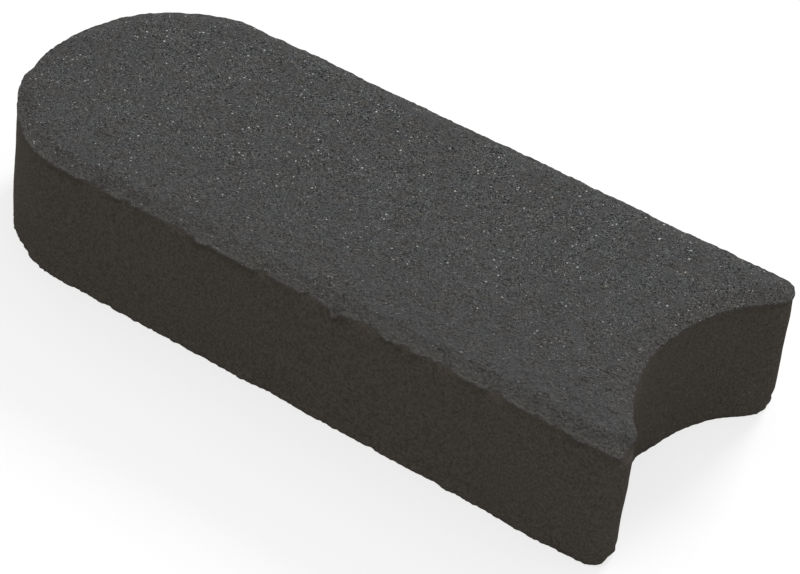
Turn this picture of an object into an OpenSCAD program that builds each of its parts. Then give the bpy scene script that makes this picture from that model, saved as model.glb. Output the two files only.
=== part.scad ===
// Kerb stone for edging a lawn, bed or path, pressed in concrete as one piece.
// One end is round and the other is hollow, so that the stones of a row nest end to end
// and the row can follow a curve. A shallow chamfer runs right round the top face.
// The stone lies on its bed with its length along X, the round end at -X and the hollow
// end at +X. The origin is the middle of the bed. Millimetres.

/* [Stone] */
// Overall length, from the crown of the round end to the horn tips
stone_length = 288; // [180:1:400]
// Width between the two long sides
stone_width = 120; // [80:1:200]
// Height from the bed to the top face
stone_height = 52; // [30:1:100]

/* [Top edge] */
// Width of the chamfer round the top face, in plan
chamfer_width = 7.2; // [2:0.2:10]
// Drop of the chamfer, from the top face to the sides
chamfer_drop = 2; // [0.5:0.25:4]

/* [Ends] */
// Radius of the round end beyond half the width, which leaves a shoulder at each long side
end_extra = 3; // [1:0.5:20]
// Radius of the hollow beyond that of the round end it receives, so that the joint can swivel
nest_play = 7; // [2:0.5:20]

/* [Plan corners] */
// Radius of the two blunt horn tips
tip_radius = 7; // [4:0.5:12]
// Radius that eases each shoulder between the round end and a long side
shoulder_radius = 38; // [10:1:38]
// How far the circle of a tip or shoulder reaches past the two faces it joins, which leaves a faint crease
crease = 0.1; // [0.05:0.05:0.5]

/* [Hidden] */
$fn = 180;

// How far a cutter runs past the face that it cuts
overrun = 5;

half_length = stone_length / 2;
half_width = stone_width / 2;

// Plan of the round end: an arc about a point on the centre line
end_radius = half_width + end_extra;
end_x = -half_length + end_radius;

// Plan of a shoulder: its circle lies inside both the long side and the round end's circle
shoulder_y = half_width - shoulder_radius + crease;
shoulder_x = end_x - sqrt(pow(end_radius - shoulder_radius + crease, 2) - pow(shoulder_y, 2));
shoulder_angle = atan2(-shoulder_y, shoulder_x - end_x);

// Plan of the hollow end: a tip's circle lies between the long side and the hollow's circle
hollow_radius = end_radius + nest_play;
tip_x = half_length - tip_radius;
tip_y = half_width - tip_radius + crease;
hollow_x = tip_x + sqrt(pow(hollow_radius + tip_radius - crease, 2) - pow(tip_y, 2));
tip_angle = atan2(tip_y, hollow_x - tip_x);

// What the chamfer takes off a square top edge whose material lies at -X and -Y of the origin
module chamfer_waste() {
    polygon([
        [-chamfer_width, 0],
        [0, -chamfer_drop],
        [overrun, -chamfer_drop],
        [overrun, overrun],
        [-chamfer_width, overrun]
    ]);
}

// Section across the long sides, bed at Y = 0
module cross_section() {
    difference() {
        translate([-half_width, 0]) square([stone_width, stone_height]);
        for (side = [0, 1])
            mirror([side, 0]) translate([half_width, stone_height]) chamfer_waste();
    }
}

// Half section of a turned stretch of the stone, with its outer top edge chamfered
module turned_section(radius) {
    difference() {
        square([radius, stone_height]);
        translate([radius, stone_height]) chamfer_waste();
    }
}

// Straight bar with the stone's cross section, long enough for the sharp horns before they are trimmed
module straight_bar() {
    translate([-half_length, 0, 0])
        rotate([90, 0, 90]) linear_extrude(half_length + hollow_x) cross_section();
}

// Envelope that rounds the bar off at -X: a turned end and the straight run behind it
module round_end_envelope() {
    translate([end_x, 0, 0]) rotate_extrude() turned_section(end_radius);
    translate([end_x, -end_radius, 0]) cube([hollow_x - end_x, 2 * end_radius, stone_height]);
}

// Envelope that eases one corner of the plan: a wide plate with a notch that opens out from the
// centre of the corner's circle, from one angle to the other, and a turned piece in the notch
module corner_envelope(centre, radius, angles) {
    reach = 2 * stone_length;
    notch_angles = [angles[0], (angles[0] + angles[1]) / 2, angles[1]];
    translate(centre) {
        linear_extrude(stone_height)
            difference() {
                square(2 * reach, center = true);
                polygon(concat([[0, 0]], [for (angle = notch_angles) 2 * reach * [cos(angle), sin(angle)]]));
            }
        rotate_extrude() turned_section(radius);
    }
}

// Envelope of the four eased corners: a shoulder and a horn tip at each long side
module eased_corners() {
    intersection_for (side = [0, 1])
        mirror([0, side, 0])
            intersection() {
                corner_envelope([shoulder_x, -shoulder_y], shoulder_radius, [shoulder_angle, -90]);
                corner_envelope([tip_x, -tip_y], tip_radius, [-90, tip_angle]);
            }
}

// Turned cutter for the hollow, flared at the top to chamfer the hollow's edge
module hollow_cutter() {
    translate([hollow_x, 0, 0]) rotate_extrude() {
        translate([0, -overrun]) square([hollow_radius, stone_height + 2 * overrun]);
        translate([hollow_radius, stone_height]) mirror([1, 0]) chamfer_waste();
    }
}

module kerb_stone() {
    color("#4d4d4c")
        difference() {
            intersection() {
                straight_bar();
                round_end_envelope();
                eased_corners();
            }
            hollow_cutter();
        }
}

kerb_stone();
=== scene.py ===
# A kerb stone that edges a bed or path, pressed as one piece in charcoal concrete.
# Metres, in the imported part's own frame: round end at -X, hollow end at +X, bed at Z = 0.
import math
import random

import bmesh
import bpy
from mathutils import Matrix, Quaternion, Vector, kdtree, noise


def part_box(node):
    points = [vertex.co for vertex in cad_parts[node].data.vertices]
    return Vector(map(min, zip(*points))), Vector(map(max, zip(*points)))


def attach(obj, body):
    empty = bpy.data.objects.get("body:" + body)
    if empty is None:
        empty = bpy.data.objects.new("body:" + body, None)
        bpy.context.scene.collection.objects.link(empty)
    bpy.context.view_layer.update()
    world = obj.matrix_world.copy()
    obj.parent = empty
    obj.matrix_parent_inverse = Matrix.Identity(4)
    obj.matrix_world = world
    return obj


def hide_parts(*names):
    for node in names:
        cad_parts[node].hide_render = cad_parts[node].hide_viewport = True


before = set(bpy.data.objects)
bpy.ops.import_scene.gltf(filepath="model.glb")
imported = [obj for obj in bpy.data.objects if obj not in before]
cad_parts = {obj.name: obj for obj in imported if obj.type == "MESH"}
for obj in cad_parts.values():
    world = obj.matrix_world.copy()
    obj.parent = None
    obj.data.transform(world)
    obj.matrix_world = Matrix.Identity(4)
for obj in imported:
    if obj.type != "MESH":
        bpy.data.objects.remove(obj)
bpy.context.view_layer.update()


# The stone: one block of earth-dry concrete, rammed into a steel mould and stripped at once.
# The mould's walls leave the sides dense and smooth. The ram leaves the top and its chamfer
# open-grained, with a ragged lip where the ram met the mould. The stone lies loose on its bed.
stone_low, stone_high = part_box("kerb_stone")
CHAMFER_WIDTH = 0.0072
CHAMFER_DROP = 0.002
END_EXTRA = 0.003
NEST_PLAY = 0.007
TIP_RADIUS = 0.007
SHOULDER_RADIUS = 0.038
half_width = stone_high.y
side_height = stone_high.z - CHAMFER_DROP
end_radius = half_width + END_EXTRA
end_x = stone_low.x + end_radius
shoulder_y = half_width - SHOULDER_RADIUS
shoulder_reach = end_radius - SHOULDER_RADIUS
shoulder_x = end_x - math.sqrt(shoulder_reach ** 2 - shoulder_y ** 2)
shoulder_sweep = math.acos(shoulder_y / shoulder_reach)
hollow_radius = end_radius + NEST_PLAY
tip_x = stone_high.x - TIP_RADIUS
tip_y = half_width - TIP_RADIUS
tip_reach = hollow_radius + TIP_RADIUS
tip_sweep = math.pi / 2 + math.asin(tip_y / tip_reach)
hollow_x = tip_x + math.sqrt(tip_reach ** 2 - tip_y ** 2)

# Its plan is drawn clockwise from the near shoulder of the round end, in steps fine enough for crumbs.
OUTLINE_STEP = 0.00055
block = bmesh.new()


def arc(corner, centre, turn):
    """Carries the outline round an arc from its last corner, and returns the new last corner."""
    steps = math.ceil(abs(turn) * (corner.co - centre).length / OUTLINE_STEP)
    swept = bmesh.ops.spin(block, geom=[corner], cent=centre, axis=(0, 0, 1), angle=turn, steps=steps)
    return swept["geom_last"][0]


def straight(corner, end):
    """Carries the outline straight on from its last corner, and returns the new last corner."""
    steps = math.ceil((end - corner.co).length / OUTLINE_STEP)
    stride = (end - corner.co) / steps
    swept = bmesh.ops.spin(block, geom=[corner], cent=corner.co, axis=(0, 0, 1), dvec=stride, steps=steps)
    return swept["geom_last"][0]


start = Vector((shoulder_x, -half_width, 0))
corner = arc(block.verts.new(start), Vector((shoulder_x, -shoulder_y, 0)), -shoulder_sweep)
corner = arc(corner, Vector((end_x, 0, 0)), 2 * shoulder_sweep - math.pi)
corner = arc(corner, Vector((shoulder_x, shoulder_y, 0)), -shoulder_sweep)
corner = straight(corner, Vector((tip_x, half_width, 0)))
corner = arc(corner, Vector((tip_x, tip_y, 0)), -tip_sweep)
corner = arc(corner, Vector((hollow_x, 0, 0)), 2 * tip_sweep - math.pi)
corner = arc(corner, Vector((tip_x, -tip_y, 0)), -tip_sweep)
straight(corner, start)
bmesh.ops.remove_doubles(block, verts=block.verts[:], dist=OUTLINE_STEP / 10)

# The plan is raised to the height of the sides. Its rim, and the way out at each of the rim's points,
# are kept for the work on the edges.
bed = bmesh.ops.contextual_create(block, geom=block.edges[:])["faces"]
raised = bmesh.ops.extrude_face_region(block, geom=bed)["geom"]
raised_verts = [part for part in raised if isinstance(part, bmesh.types.BMVert)]
bmesh.ops.translate(block, verts=raised_verts, vec=(0, 0, side_height))
bmesh.ops.recalc_face_normals(block, faces=block.faces[:])
block.normal_update()
ways_out = []
rim_tree = kdtree.KDTree(len(raised_verts))
for index, vert in enumerate(raised_verts):
    ways_out.append(Vector((vert.normal.x, vert.normal.y, 0)).normalized())
    rim_tree.insert(Vector((vert.co.x, vert.co.y, 0)), index)
rim_tree.balance()

# The sharp edges are eased a little, the sides are divided into rows, and the top gets a narrow border
# for the lip.
ARRIS_RADIUS = 0.0006
BED_ARRIS_RADIUS = 0.0004
ARRIS_SEGMENTS = 2
SIDE_ROWS = 25
LIP_BORDER = 0.0008
TOLERANCE = 1e-6


def edges_at(height):
    """The edges that lie level at a height."""
    return [edge for edge in block.edges if all(abs(vert.co.z - height) < TOLERANCE for vert in edge.verts)]


for height, radius in ((side_height, ARRIS_RADIUS), (0, BED_ARRIS_RADIUS)):
    bmesh.ops.bevel(
        block, geom=edges_at(height), offset=radius, offset_type="OFFSET", affect="EDGES",
        segments=ARRIS_SEGMENTS, profile=0.5, material=-1,
    )
upright = [edge for edge in block.edges if abs(edge.verts[0].co.z - edge.verts[1].co.z) > side_height / 2]
bmesh.ops.subdivide_edges(block, edges=upright, cuts=SIDE_ROWS, use_grid_fill=True)
level_faces = sorted(block.faces, key=lambda face: len(face.verts))[-2:]
bed_face, top_face = sorted(level_faces, key=lambda face: face.calc_center_median().z)
bmesh.ops.inset_region(block, faces=[top_face], thickness=LIP_BORDER, use_even_offset=True)

# The top and the bed are cut into cells, fine on the top, whose grain shows, and coarse on the bed.
TOP_CELL = 0.0009
BED_CELL = 0.006
SNAP = 0.0002


def cut_into_cells(face, cell):
    """Cuts a level face into square cells, first across the stone and then along it."""
    strips = [face]
    for axis in (Vector((1, 0, 0)), Vector((0, 1, 0))):
        low = axis.dot(stone_low)
        span = axis.dot(stone_high) - low
        count = round(span / cell)
        ahead = strips
        strips = []
        for line in range(1, count):
            reach = low + span * line / count
            edges = {edge for each in ahead for edge in each.edges}
            verts = {vert for each in ahead for vert in each.verts}
            cut = bmesh.ops.bisect_plane(
                block, geom=[*verts, *edges, *ahead], dist=SNAP, plane_co=axis * reach, plane_no=axis,
            )["geom"]
            ahead = []
            for part in cut:
                if isinstance(part, bmesh.types.BMFace):
                    beyond = part.calc_center_median().dot(axis) > reach
                    (ahead if beyond else strips).append(part)
        strips += ahead


cut_into_cells(top_face, TOP_CELL)
cut_into_cells(bed_face, BED_CELL)

# The chamfer: the top climbs from its rim to the plateau, with a low, broken lip along the near side.
# Each point keeps four notes for the concrete. Its grain is open on the pressed top, closed on the
# moulded sides and shows a trace in the hollow. The lip is pale. The ram has smeared paste over the
# chamfer, least on the far side, and the same note paints a warm shade where the chamfer faces away
# from the light. The paste grows richer from the middle to the near horn.
HOLLOW_GRAIN = 0.1
LIP_WIDTH = 0.0007
LIP_FADE = 0.0007
LIP_HEIGHT = 0.0003
LIP_PATCH = 0.006
LIP_CRUMB = 0.002
LIP_WHOLENESS = 0.5
NEAR_GAIN = 2
NEAR_OFFSET = 0.6
SMEAR_FADE = 0.003
# The chamfer facing this way is lit, and takes neither smear nor painted warm shade.
LIT_UNSMEARED_WAY = Vector((-0.36, 0.93, 0))
RICH_WAY = Vector((0.218, -0.976, 0))
RICH_START = -0.018
RICH_END = 0.077
hollow_axis = Vector((hollow_x, 0, 0))
open_grain = block.verts.layers.float.new("open_grain")
pale_lip = block.verts.layers.float.new("pale_lip")
smear_and_warm_shade = block.verts.layers.float.new("smear_and_warm_shade")
rich_paste = block.verts.layers.float.new("rich_paste")
edge_notes = {}


def clamp(share):
    """A share kept between none and all."""
    return min(1, max(0, share))


def in_hollow(place):
    """Whether a place on the rim belongs to the hollow."""
    return (place - hollow_axis).length < hollow_radius + OUTLINE_STEP


# The open grain holds down to a third of the arris, and is gone from two thirds.
for vert in block.verts:
    place, index, gap = rim_tree.find(Vector((vert.co.x, vert.co.y, 0)))
    outward = ways_out[index]
    below = max(0, side_height - vert.co.z)
    edge_notes[vert] = (place, outward, gap, below)
    if below < ARRIS_RADIUS - TOLERANCE:
        patch = LIP_WHOLENESS + noise.noise(place / LIP_PATCH) + noise.noise(place / LIP_CRUMB)
        near = clamp(-NEAR_GAIN * outward.y - NEAR_OFFSET)
        lip = clamp(1 - (gap - LIP_WIDTH) / LIP_FADE) * clamp(patch) * near
        # Facing away from the light, the chamfer takes the smear and its painted warm shade.
        facing_smear_and_shade = clamp(0.5 - 0.5 * outward.dot(LIT_UNSMEARED_WAY))
        vert.co.z += CHAMFER_DROP * min(1, gap / CHAMFER_WIDTH) + LIP_HEIGHT * lip
        vert[open_grain] = clamp(2 - 3 * below / ARRIS_RADIUS)
        vert[pale_lip] = lip
        vert[smear_and_warm_shade] = clamp((CHAMFER_WIDTH - gap) / SMEAR_FADE) * facing_smear_and_shade
        vert[rich_paste] = clamp((vert.co.dot(RICH_WAY) - RICH_START) / (RICH_END - RICH_START))
    elif in_hollow(place):
        vert[open_grain] = HOLLOW_GRAIN
block.normal_update()

# The lip is ragged: it wanders in and out, and up and down, over grains of all sizes, and it hangs out
# most where the ram sat off the middle, to the near side and the hollow. The bed's edge is crumbly too.
# The top is grainy and slightly uneven, with lumps where it is rich, and the sides keep the faint swell
# of the mould's walls. Each wave has a length and a depth.
TOP_REACH = 0.004
SIDE_REACH = 0.0025
BED_REACH = 0.003
BED_OVERHANG = 0.0003
LIP_OVERHANG = 0.0005
RAM_SHIFT = Vector((0.0003, -0.0003, 0))
OUTWARD_WAVES = ((0.024, 0.0008), (0.0085, 0.0006), (0.0034, 0.0004), (0.0016, 0.0003))
UPWARD_WAVES = ((0.016, 0.0003), (0.006, 0.0003), (0.0025, 0.0003), (0.0014, 0.00025))
BED_WAVES = ((0.012, 0.0005), (0.004, 0.0005), (0.0018, 0.0004), (0.0012, 0.0003))
TOP_WAVES = ((0.045, 0.0003), (0.0075, 0.00016), (0.0026, 0.00018))
SIDE_WAVES = ((0.06, 0.0003), (0.012, 0.00012), (0.004, 0.00008))
WAVE_OFFSET = Vector((7.3, 2.9, 5.1))


def relief(place, waves):
    """Height of a rough surface at a place, summed over its waves."""
    return sum(depth * noise.noise(place / length + WAVE_OFFSET) for length, depth in waves)


# The near edge has lost flakes at some places and overhangs at others. Each has a place along the
# stone, a width and a loss, which is full over the middle half of the width.
FLAKES = (
    (-0.088, 0.016, -0.0008), (-0.077, 0.010, 0.0010), (-0.062, 0.005, 0.0016), (-0.039, 0.011, 0.0012),
    (-0.028, 0.008, -0.0014), (-0.002, 0.006, 0.0020), (0.019, 0.009, 0.0013), (0.0425, 0.012, 0.0014),
    (0.0505, 0.004, -0.0007), (0.0585, 0.005, 0.0014), (0.0675, 0.005, 0.0013), (0.074, 0.009, 0.0017),
    (0.0945, 0.008, 0.0018), (0.128, 0.006, -0.0010),
)
NEAR_RAGGEDNESS = 1.4
CALM_RAGGEDNESS = 0.7
HOLLOW_CRUMBS = 0.5


def ease(share):
    """A share kept between none and all, with a soft start and a soft end."""
    share = clamp(share)
    return share ** 2 * (3 - 2 * share)


def edge_wander(place, outward):
    """How far the lip stands out at a place of the rim, less where a flake has gone."""
    overhang = LIP_OVERHANG + RAM_SHIFT.dot(outward)
    wander = relief(place, OUTWARD_WAVES)
    if place.y > -half_width + ARRIS_RADIUS:
        return overhang + CALM_RAGGEDNESS * wander
    lost = sum(loss * ease(2 - 4 * abs(place.x - middle) / width) for middle, width, loss in FLAKES)
    return overhang + NEAR_RAGGEDNESS * wander - lost


for vert, (place, outward, gap, below) in edge_notes.items():
    height = vert.co.z
    facing_up = max(0, vert.normal.z)
    rise = facing_up * relief(vert.co, TOP_WAVES) * min(1, gap / TOP_REACH) * (1 + vert[rich_paste])
    swell = (1 - abs(vert.normal.z)) * relief(vert.co, SIDE_WAVES)
    vert.co += vert.normal * (rise + swell)
    ragged = clamp(1 - max(gap / TOP_REACH, below / SIDE_REACH))
    if ragged > 0:
        vert.co += outward * ragged * edge_wander(place, outward)
        vert.co.z += ragged * relief(-place, UPWARD_WAVES)
    crumbling = clamp(1 - max(gap, height) / BED_REACH)
    if crumbling > 0:
        crumbs = relief(place, BED_WAVES) * (HOLLOW_CRUMBS if in_hollow(place) else 1)
        vert.co += outward * crumbling * (BED_OVERHANG + crumbs)

# Grit torn from the top leaves small pits, and a few coarse grains stand proud. Each kind has a number,
# a range of radii and a range of heights. They keep off the lowest quarter of the chamfer.
PITS = (160, (0.0008, 0.0017), (-0.0006, -0.0002))
GRAINS = (220, (0.0007, 0.0011), (0.0001, 0.00025))
GRIT_SEED = 23
grit_level = side_height + CHAMFER_DROP / 4
chance = random.Random(GRIT_SEED)
top_verts = [vert for vert in block.verts if vert.co.z > grit_level]
top_tree = kdtree.KDTree(len(top_verts))
for index, vert in enumerate(top_verts):
    top_tree.insert(vert.co, index)
top_tree.balance()
for count, radii, heights in (PITS, GRAINS):
    for _ in range(count):
        centre = chance.choice(top_verts).co.copy()
        radius = chance.uniform(*radii)
        height = chance.uniform(*heights)
        for _, index, distance in top_tree.find_range(centre, radius):
            top_verts[index].co.z += height * (1 - (distance / radius) ** 2)


def press(place, reach, shift):
    """Shifts the stone's skin at a place, fading out at a reach."""
    for vert in block.verts:
        vert.co += shift * ease(1 - (vert.co - place).length / reach)


# Wear and dents: each is a place on the skin, the reach over which it fades out, and the shift at its
# middle. The horns are the weak points and the near one is worn most. Its nose is rounded at the bed
# and chipped at the top, with a hanging crumb on one side of the chip and a swollen lip on the other.
NEAR_NOSE = Vector((stone_high.x, -tip_y, 0))
FAR_NOSE = Vector((stone_high.x, tip_y, 0))
TOP = Vector((0, 0, side_height))
HORN_WEAR = (
    (NEAR_NOSE, 0.010, (-0.0012, 0.0006, 0.0020)),
    (NEAR_NOSE + Vector((0, 0, 0.016)), 0.018, (-0.0004, 0, 0)),
    (NEAR_NOSE + Vector((-0.0075, -0.006, 0)), 0.009, (0, 0.0004, 0.0003)),
    (NEAR_NOSE + TOP, 0.013, (0, 0.0004, -0.0014)),
    (NEAR_NOSE + TOP + Vector((-0.0015, -0.0063, 0)), 0.006, (0.0004, -0.0006, -0.0008)),
    (NEAR_NOSE + TOP + Vector((0, 0.001, 0)), 0.008, (-0.0034, 0, -0.0006)),
    (NEAR_NOSE + TOP + Vector((-0.004, 0.008, 0)), 0.009, (0.0007, 0.0006, 0)),
    (NEAR_NOSE + TOP + Vector((-0.003, 0.0065, 0)), 0.004, (0.0008, -0.0010, -0.0008)),
    (FAR_NOSE, 0.009, (-0.0016, 0, 0.0006)),
    (FAR_NOSE + Vector((0, 0, 0.03)), 0.02, (-0.0004, 0, 0)),
    (FAR_NOSE + TOP, 0.012, (-0.0009, 0, 0)),
    (FAR_NOSE + Vector((-0.004, -0.008, 0)), 0.016, (0.0009, -0.0009, 0)),
)

# The round end isn't quite true: its far flank is full, its crown has a worn flat that ends in a small
# corner, and its near flank has less of a lip and bulges close to the bed.
ROUND_END_WEAR = (
    (Vector((-0.133, 0.036, side_height)), 0.038, (-0.0013, 0.0016, 0)),
    (Vector((-0.1415, -0.016, side_height)), 0.022, (0.0006, 0.0001, 0)),
    (Vector((-0.1385, -0.0255, side_height)), 0.006, (-0.0008, -0.0003, 0)),
    (Vector((-0.1274, -0.0424, side_height)), 0.012, (0.0005, 0.0004, 0)),
    (Vector((-0.1262, -0.0443, 0.012)), 0.025, (-0.0005, -0.0005, 0)),
    (Vector((-0.111, -0.0545, 0)), 0.018, (0.0005, 0.0009, 0)),
)

# The far long side is slightly hollow behind the shoulder and full before the horn.
FAR_SIDE_WEAR = (
    (Vector((-0.104, half_width, side_height)), 0.014, (-0.0003, 0.0007, 0)),
    (Vector((-0.086, half_width, side_height)), 0.018, (0, -0.0008, 0)),
    (Vector((-0.050, half_width, side_height)), 0.045, (0, -0.0004, 0)),
    (Vector((0.038, half_width, side_height)), 0.045, (0, 0.0008, 0)),
    (Vector((0.100, half_width, side_height)), 0.070, (0, 0.0006, 0)),
    (Vector((0.128, half_width, side_height)), 0.018, (0, 0.0006, 0)),
)

# The bed's edge is worn in the floor of the hollow, and its near edge bows in at one place and out at
# another.
BED_WEAR = (
    (Vector((hollow_x - hollow_radius, -0.004, 0)), 0.012, (-0.0009, 0, 0.0003)),
    (Vector((0.009, -half_width, 0)), 0.014, (0, 0.0005, 0)),
    (Vector((0.117, -half_width, 0)), 0.034, (0, -0.0006, 0)),
)

# One crumb of the lip hangs over the near side.
HANGING_CRUMB = (
    (Vector((0.0296, -half_width, side_height - 0.001)), 0.0027, (-0.0004, -0.0018, -0.0032)),
)
for place, reach, shift in HORN_WEAR + ROUND_END_WEAR + FAR_SIDE_WEAR + BED_WEAR + HANGING_CRUMB:
    press(place, reach, Vector(shift))

# Nothing reaches below the bed, and the skin is shaded smooth.
for vert in block.verts:
    vert.co.z = max(vert.co.z, 0)
for face in block.faces:
    face.smooth = True
bmesh.ops.recalc_face_normals(block, faces=block.faces[:])
stone_mesh = bpy.data.meshes.new("pressed_stone")
block.to_mesh(stone_mesh)
block.free()
stone = bpy.data.objects.new("pressed_stone", stone_mesh)
bpy.context.collection.objects.link(stone)

# Through-coloured concrete, pressed: a matt cement paste full of fine sand. The open top shows the sand
# as light and dark grains, with painted shade in the hollows between them and a few quartz grains painted
# bright as glints, and the moulded sides show a smooth, warmer paste.


def colour(hexcode):
    """An sRGB hex value as the linear colour that a shader takes."""
    shares = [int(hexcode[at:at + 2], 16) / 255 for at in (0, 2, 4)]
    linear = [share / 12.92 if share <= 0.04045 else ((share + 0.055) / 1.055) ** 2.4 for share in shares]
    return (*linear, 1)


def add_node(tree, kind, inputs=None, **settings):
    """Adds a node to a tree with its settings, and returns its outputs.

    An input is a value or a socket to link. A Mix node takes its share at 0, numbers at 2 and 3 and
    colours at 6 and 7. It gives a number at 0 and a colour at 2.
    """
    node = tree.nodes.new(kind)
    for name, setting in settings.items():
        setattr(node, name, setting)
    for name, given in (inputs or {}).items():
        if isinstance(given, bpy.types.NodeSocket):
            tree.links.new(given, node.inputs[name])
        else:
            node.inputs[name].default_value = given
    return node.outputs


concrete = bpy.data.materials.new("pressed_charcoal_concrete")
concrete.use_nodes = True
tree = concrete.node_tree
tree.nodes.clear()
coords = add_node(tree, "ShaderNodeTexCoord")["Object"]
opened = add_node(tree, "ShaderNodeAttribute", attribute_name="open_grain")["Fac"]
smear_and_shade = add_node(tree, "ShaderNodeAttribute", attribute_name="smear_and_warm_shade")["Fac"]

# Sand: each grain has its own shade, from black, which paints the shade in the hollows between grains,
# through the grey of the paste to a few pale quartz grains, painted bright as glints.
SAND_GRAIN = 0.00037
# The darkest colour is painted shade in the grain hollows, and the palest a painted glint.
GRAIN_HOLLOW_SHADE = "000000"
SAND_SHADES = (
    (0.08, "1a1a1a"), (0.22, "3b3b3b"), (0.5, "4d4d4d"), (0.8, "5c5c5c"), (0.95, "6a6a6a"),
    (0.99, "7e7e7e"), (0.997, "9e9e9e"),
)
PALEST_SAND_GLINT = "d8d8d8"
sand = add_node(tree, "ShaderNodeTexVoronoi", {"Vector": coords, "Scale": 1 / SAND_GRAIN})
sand_shade = add_node(tree, "ShaderNodeSeparateColor", {0: sand["Color"]})["Red"]
grains_and_painted_light = add_node(tree, "ShaderNodeValToRGB", {0: sand_shade})["Color"]
stops = tree.nodes[-1].color_ramp.elements
stops[0].color = colour(GRAIN_HOLLOW_SHADE)
stops[1].color = colour(PALEST_SAND_GLINT)
for position, shade in SAND_SHADES:
    stops.new(position).color = colour(shade)

# Paste: in patches, over the smeared chamfer and more and more from the middle to the near horn, cement
# paste fills the grain. It is lumpy, more so in some clumps than in others, and it is painted darker in
# the dips between the lumps and lighter on their crests, as painted shade and light. A noise swings
# about its middle, and most of it lies between its low and its high.
NOISE_LOW = 0.35
NOISE_MIDDLE = 0.5
NOISE_HIGH = 0.65
PATCH = 0.007
PATCH_START = 0.42
PATCH_FULL = 0.68
PATCH_SHARE = 0.65
SMEAR_SHARE = 0.3
RICH_SHARE = 0.75
LUMP = 0.0012
LUMP_SWING = 0.2
CLUMP = 0.005
SMOOTH_SHARE = 0.4
CLUMP_SHARE = 2.0
# The dip colour is painted shade and the crest colour painted light.
PAINTED_DIP_SHADE = "3f3e3e"
PAINTED_CREST_LIGHT = "585756"
patchy = add_node(tree, "ShaderNodeTexNoise", {"Vector": coords, "Scale": 1 / PATCH, "Detail": 2})["Fac"]
patchy = add_node(
    tree, "ShaderNodeMapRange",
    {"Value": patchy, "From Min": PATCH_START, "From Max": PATCH_FULL, "To Max": PATCH_SHARE},
)["Result"]
richness = add_node(tree, "ShaderNodeAttribute", attribute_name="rich_paste")["Fac"]
richness = add_node(tree, "ShaderNodeMath", {0: richness, 1: RICH_SHARE}, operation="MULTIPLY")[0]
filled = add_node(tree, "ShaderNodeMath", {0: smear_and_shade, 1: SMEAR_SHARE}, operation="MULTIPLY")[0]
filled = add_node(tree, "ShaderNodeMath", {0: filled, 1: patchy}, operation="MAXIMUM")[0]
filled = add_node(tree, "ShaderNodeMath", {0: filled, 1: richness}, operation="MAXIMUM")[0]
lumps = add_node(tree, "ShaderNodeTexNoise", {"Vector": coords, "Scale": 1 / LUMP, "Detail": 2})["Fac"]
lumps = add_node(tree, "ShaderNodeMath", {0: lumps, 1: NOISE_MIDDLE}, operation="SUBTRACT")[0]
clumps = add_node(tree, "ShaderNodeTexNoise", {"Vector": coords, "Scale": 1 / CLUMP, "Detail": 2})["Fac"]
clumps = add_node(
    tree, "ShaderNodeMapRange",
    {
        "Value": clumps, "From Min": NOISE_LOW, "From Max": NOISE_HIGH,
        "To Min": SMOOTH_SHARE, "To Max": CLUMP_SHARE,
    },
)["Result"]
lumps = add_node(tree, "ShaderNodeMath", {0: lumps, 1: clumps}, operation="MULTIPLY")[0]
crest_light_share = add_node(
    tree, "ShaderNodeMapRange", {"Value": lumps, "From Min": -LUMP_SWING, "From Max": LUMP_SWING},
)["Result"]
filling_with_dip_shade = add_node(
    tree, "ShaderNodeMix", {0: crest_light_share, 6: colour(PAINTED_DIP_SHADE), 7: colour(PAINTED_CREST_LIGHT)}, data_type="RGBA",
)[2]

# Grit: now and then a larger pale quartz grain is painted bright as a glint, or a grain has torn out and
# left a pit, painted dark as the shade in it. The quartz grows rare where paste fills the grain.
GRIT = 0.001
GRIT_CORE = 0.38
QUARTZ_SHARE = 0.015
# The quartz colour is a painted glint on a pale grain, and the pit colour is painted shade.
QUARTZ_GLINT = "c4c4c2"
PIT_SHARE = 0.03
PAINTED_PIT_SHADE = "1c1b1a"
grit = add_node(tree, "ShaderNodeTexVoronoi", {"Vector": coords, "Scale": 1 / GRIT})
grit_draw = add_node(tree, "ShaderNodeSeparateColor", {0: grit["Color"]})["Red"]
core = add_node(tree, "ShaderNodeMath", {0: grit["Distance"], 1: GRIT_CORE}, operation="LESS_THAN")[0]
quartz_floor = add_node(
    tree, "ShaderNodeMapRange",
    {"Value": filled, "From Max": RICH_SHARE, "To Min": 1 - QUARTZ_SHARE, "To Max": 1.0},
)["Result"]
quartz_glint = add_node(tree, "ShaderNodeMath", {0: grit_draw, 1: quartz_floor}, operation="GREATER_THAN")[0]
quartz_glint = add_node(tree, "ShaderNodeMath", {0: quartz_glint, 1: core}, operation="MULTIPLY")[0]
grains_and_painted_light = add_node(tree, "ShaderNodeMix", {0: quartz_glint, 6: grains_and_painted_light, 7: colour(QUARTZ_GLINT)}, data_type="RGBA")[2]
pit = add_node(tree, "ShaderNodeMath", {0: grit_draw, 1: PIT_SHARE}, operation="LESS_THAN")[0]
pit = add_node(tree, "ShaderNodeMath", {0: pit, 1: core}, operation="MULTIPLY")[0]
grains_and_painted_light = add_node(tree, "ShaderNodeMix", {0: pit, 6: grains_and_painted_light, 7: colour(PAINTED_PIT_SHADE)}, data_type="RGBA")[2]
grains_and_painted_light = add_node(tree, "ShaderNodeMix", {0: filled, 6: grains_and_painted_light, 7: filling_with_dip_shade}, data_type="RGBA")[2]

# The pigment isn't mixed quite evenly: the top drifts between a cooler and a warmer grey. Where the
# chamfer faces away from the light, the smear carries a painted warm shade. The lip is paler than the rest.
DRIFT = 0.005
COOL_TINT = "f8fbfe"
WARM_TINT = "fefcf8"
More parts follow.
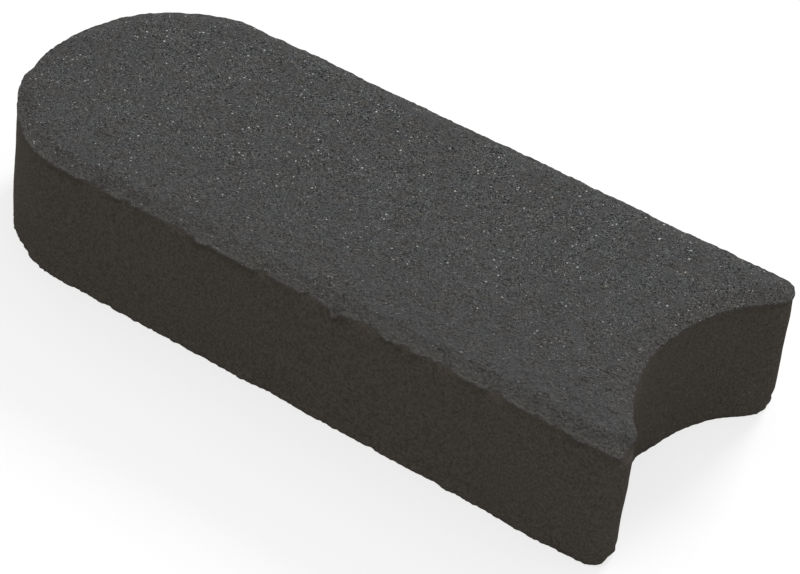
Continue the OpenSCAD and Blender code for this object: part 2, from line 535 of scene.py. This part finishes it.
# The smear tint is a painted warm shade.
WARM_SHADE_TINT = "fefaf4"
LIP_PASTE = "646360"
LIP_SHARE = 0.6
drift = add_node(tree, "ShaderNodeTexNoise", {"Vector": coords, "Scale": 1 / DRIFT, "Detail": 2})["Fac"]
drift = add_node(
    tree, "ShaderNodeMapRange", {"Value": drift, "From Min": NOISE_LOW, "From Max": NOISE_HIGH},
)["Result"]
tint = add_node(
    tree, "ShaderNodeMix", {0: drift, 6: colour(COOL_TINT), 7: colour(WARM_TINT)}, data_type="RGBA",
)[2]
tint = add_node(tree, "ShaderNodeMix", {0: smear_and_shade, 6: tint, 7: colour(WARM_SHADE_TINT)}, data_type="RGBA")[2]
top_paste = add_node(
    tree, "ShaderNodeMix", {0: 1.0, 6: grains_and_painted_light, 7: tint}, data_type="RGBA", blend_type="MULTIPLY",
)[2]
paleness = add_node(tree, "ShaderNodeAttribute", attribute_name="pale_lip")["Fac"]
paleness = add_node(tree, "ShaderNodeMath", {0: paleness, 1: LIP_SHARE}, operation="MULTIPLY")[0]
top_paste = add_node(
    tree, "ShaderNodeMix", {0: paleness, 6: top_paste, 7: colour(LIP_PASTE)}, data_type="RGBA",
)[2]

# The sides: dense paste with a faint mottle of sand close under the skin.
SIDE_PASTE = "4d4842"
MOTTLE = 0.0009
MOTTLE_LOW = 0.25
MOTTLE_HIGH = 0.75
MOTTLE_DARK = 0.63
MOTTLE_LIGHT = 1.37
mottle = add_node(tree, "ShaderNodeTexNoise", {"Vector": coords, "Scale": 1 / MOTTLE, "Detail": 3})["Fac"]
mottle = add_node(
    tree, "ShaderNodeMapRange",
    {
        "Value": mottle, "From Min": MOTTLE_LOW, "From Max": MOTTLE_HIGH,
        "To Min": MOTTLE_DARK, "To Max": MOTTLE_LIGHT,
    },
)["Result"]
side_paste = add_node(
    tree, "ShaderNodeMix", {0: 1.0, 6: colour(SIDE_PASTE), 7: mottle},
    data_type="RGBA", blend_type="MULTIPLY",
)[2]
paste = add_node(tree, "ShaderNodeMix", {0: opened, 6: side_paste, 7: top_paste}, data_type="RGBA")[2]

# Relief: rounded grains on soft lumps, which stand higher where the paste is rich, and a trace of both
# on the sides. The surface is dusty and rough, with next to no gloss.
GRAIN_HEIGHT = 0.0003
LUMP_HEIGHT = 0.0003
RICH_LUMP_HEIGHT = 0.0013
SIDE_RELIEF = 0.25
ROUGHNESS = 0.92
CEMENT_IOR = 1.5
GLOSS = 0.02
grain_dome = add_node(tree, "ShaderNodeMath", {0: sand_shade, 1: sand["Distance"]}, operation="SUBTRACT")[0]
grain_dome = add_node(tree, "ShaderNodeMath", {0: grain_dome, 1: GRAIN_HEIGHT}, operation="MULTIPLY")[0]
lump_height = add_node(
    tree, "ShaderNodeMapRange",
    {"Value": filled, "From Max": RICH_SHARE, "To Min": LUMP_HEIGHT, "To Max": RICH_LUMP_HEIGHT},
)["Result"]
bumps = add_node(
    tree, "ShaderNodeMath", {0: lumps, 1: lump_height, 2: grain_dome}, operation="MULTIPLY_ADD",
)[0]
bump_strength = add_node(
    tree, "ShaderNodeMapRange", {"Value": opened, "To Min": SIDE_RELIEF, "To Max": 1.0},
)["Result"]
rough = add_node(
    tree, "ShaderNodeBump", {"Strength": bump_strength, "Distance": 1.0, "Height": bumps},
)["Normal"]
surface = add_node(
    tree, "ShaderNodeBsdfPrincipled",
    {
        "Base Color": paste, "Roughness": ROUGHNESS, "IOR": CEMENT_IOR, "Specular IOR Level": GLOSS,
        "Normal": rough,
    },
)["BSDF"]
add_node(tree, "ShaderNodeOutputMaterial", {"Surface": surface})
stone_mesh.materials.append(concrete)

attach(stone, "root")
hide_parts("kerb_stone")


# The floor: a plain pale studio floor. To the eye it glows towards white, and it keeps the stone's
# shadow.
FLOOR_RADIUS = 4
FLOOR_SEGMENTS = 64
FLOOR_COLOUR = "8a8a8a"
FLOOR_GLOW = 0.72
WHITE = "ffffff"
floor_plane = bmesh.new()
bmesh.ops.create_circle(floor_plane, cap_ends=True, radius=FLOOR_RADIUS, segments=FLOOR_SEGMENTS)
floor_mesh = bpy.data.meshes.new("floor")
floor_plane.to_mesh(floor_mesh)
floor_plane.free()
floor = bpy.data.objects.new("floor", floor_mesh)
bpy.context.collection.objects.link(floor)


def seen_by_eye(tree):
    """A socket that is 1 for what the eye sees straight, in gloss or through glass, and 0 for light."""
    path = add_node(tree, "ShaderNodeLightPath")
    seen = path["Is Camera Ray"]
    for ray in ("Is Glossy Ray", "Is Transmission Ray"):
        seen = add_node(
            tree, "ShaderNodeMath", {0: seen, 1: path[ray]}, operation="ADD", use_clamp=True,
        )[0]
    return seen


pale_matt = bpy.data.materials.new("pale_matt_floor")
pale_matt.use_nodes = True
tree = pale_matt.node_tree
tree.nodes.clear()
matt = add_node(tree, "ShaderNodeBsdfDiffuse", {"Color": colour(FLOOR_COLOUR)})["BSDF"]
glow_strength = add_node(
    tree, "ShaderNodeMath", {0: seen_by_eye(tree), 1: FLOOR_GLOW}, operation="MULTIPLY",
)[0]
glow = add_node(tree, "ShaderNodeEmission", {"Color": colour(WHITE), "Strength": glow_strength})[0]
surface = add_node(tree, "ShaderNodeAddShader", {0: matt, 1: glow})[0]
add_node(tree, "ShaderNodeOutputMaterial", {"Surface": surface})
floor_mesh.materials.append(pale_matt)


# The light: one broad soft lamp high behind the stone, and an even white room around it.
LAMP_AZIMUTH = math.radians(3)
LAMP_TILT = math.radians(57)
LAMP_DISTANCE = 2.5
LAMP_SIZE = 0.7
LAMP_POWER = 52
ROOM_STRENGTH = 0.85
lamp_data = bpy.data.lights.new("softbox", "AREA")
lamp_data.shape = "SQUARE"
lamp_data.size = LAMP_SIZE
lamp_data.energy = LAMP_POWER
lamp = bpy.data.objects.new("softbox", lamp_data)
towards_lamp = Vector((
    -math.sin(LAMP_AZIMUTH) * math.sin(LAMP_TILT),
    math.cos(LAMP_AZIMUTH) * math.sin(LAMP_TILT),
    math.cos(LAMP_TILT),
))
lamp.location = LAMP_DISTANCE * towards_lamp
lamp.rotation_mode = "QUATERNION"
lamp.rotation_quaternion = towards_lamp.to_track_quat("Z", "Y")
bpy.context.collection.objects.link(lamp)
world = bpy.data.worlds.new("white_room")
world.use_nodes = True
tree = world.node_tree
tree.nodes.clear()
strength = add_node(tree, "ShaderNodeMix", {0: seen_by_eye(tree), 2: ROOM_STRENGTH, 3: 1.0})[0]
room = add_node(tree, "ShaderNodeBackground", {"Color": colour(WHITE), "Strength": strength})[0]
add_node(tree, "ShaderNodeOutputWorld", {"Surface": room})
bpy.context.scene.world = world
bpy.context.scene.view_settings.view_transform = "Standard"


# The camera: a long lens that looks down on the near long side and the hollow end, with a slight roll.
VIEW_AZIMUTH = math.radians(31.261)
VIEW_ELEVATION = math.radians(37.573)
VIEW_ROLL = math.radians(6.807)
VIEW_TARGET = Vector((0.0214, -0.00687, 0.025))
VIEW_DISTANCE = 1.0535
LENS = 133.47
SENSOR_WIDTH = 36
camera_data = bpy.data.cameras.new("camera")
camera_data.sensor_width = SENSOR_WIDTH
camera_data.lens = LENS
camera = bpy.data.objects.new("camera", camera_data)
towards_camera = Vector((
    math.sin(VIEW_AZIMUTH) * math.cos(VIEW_ELEVATION),
    -math.cos(VIEW_AZIMUTH) * math.cos(VIEW_ELEVATION),
    math.sin(VIEW_ELEVATION),
))
camera.location = VIEW_TARGET + VIEW_DISTANCE * towards_camera
camera.rotation_mode = "QUATERNION"
camera.rotation_quaternion = towards_camera.to_track_quat("Z", "Y") @ Quaternion((0, 0, 1), VIEW_ROLL)
bpy.context.collection.objects.link(camera)
bpy.context.scene.camera = camera
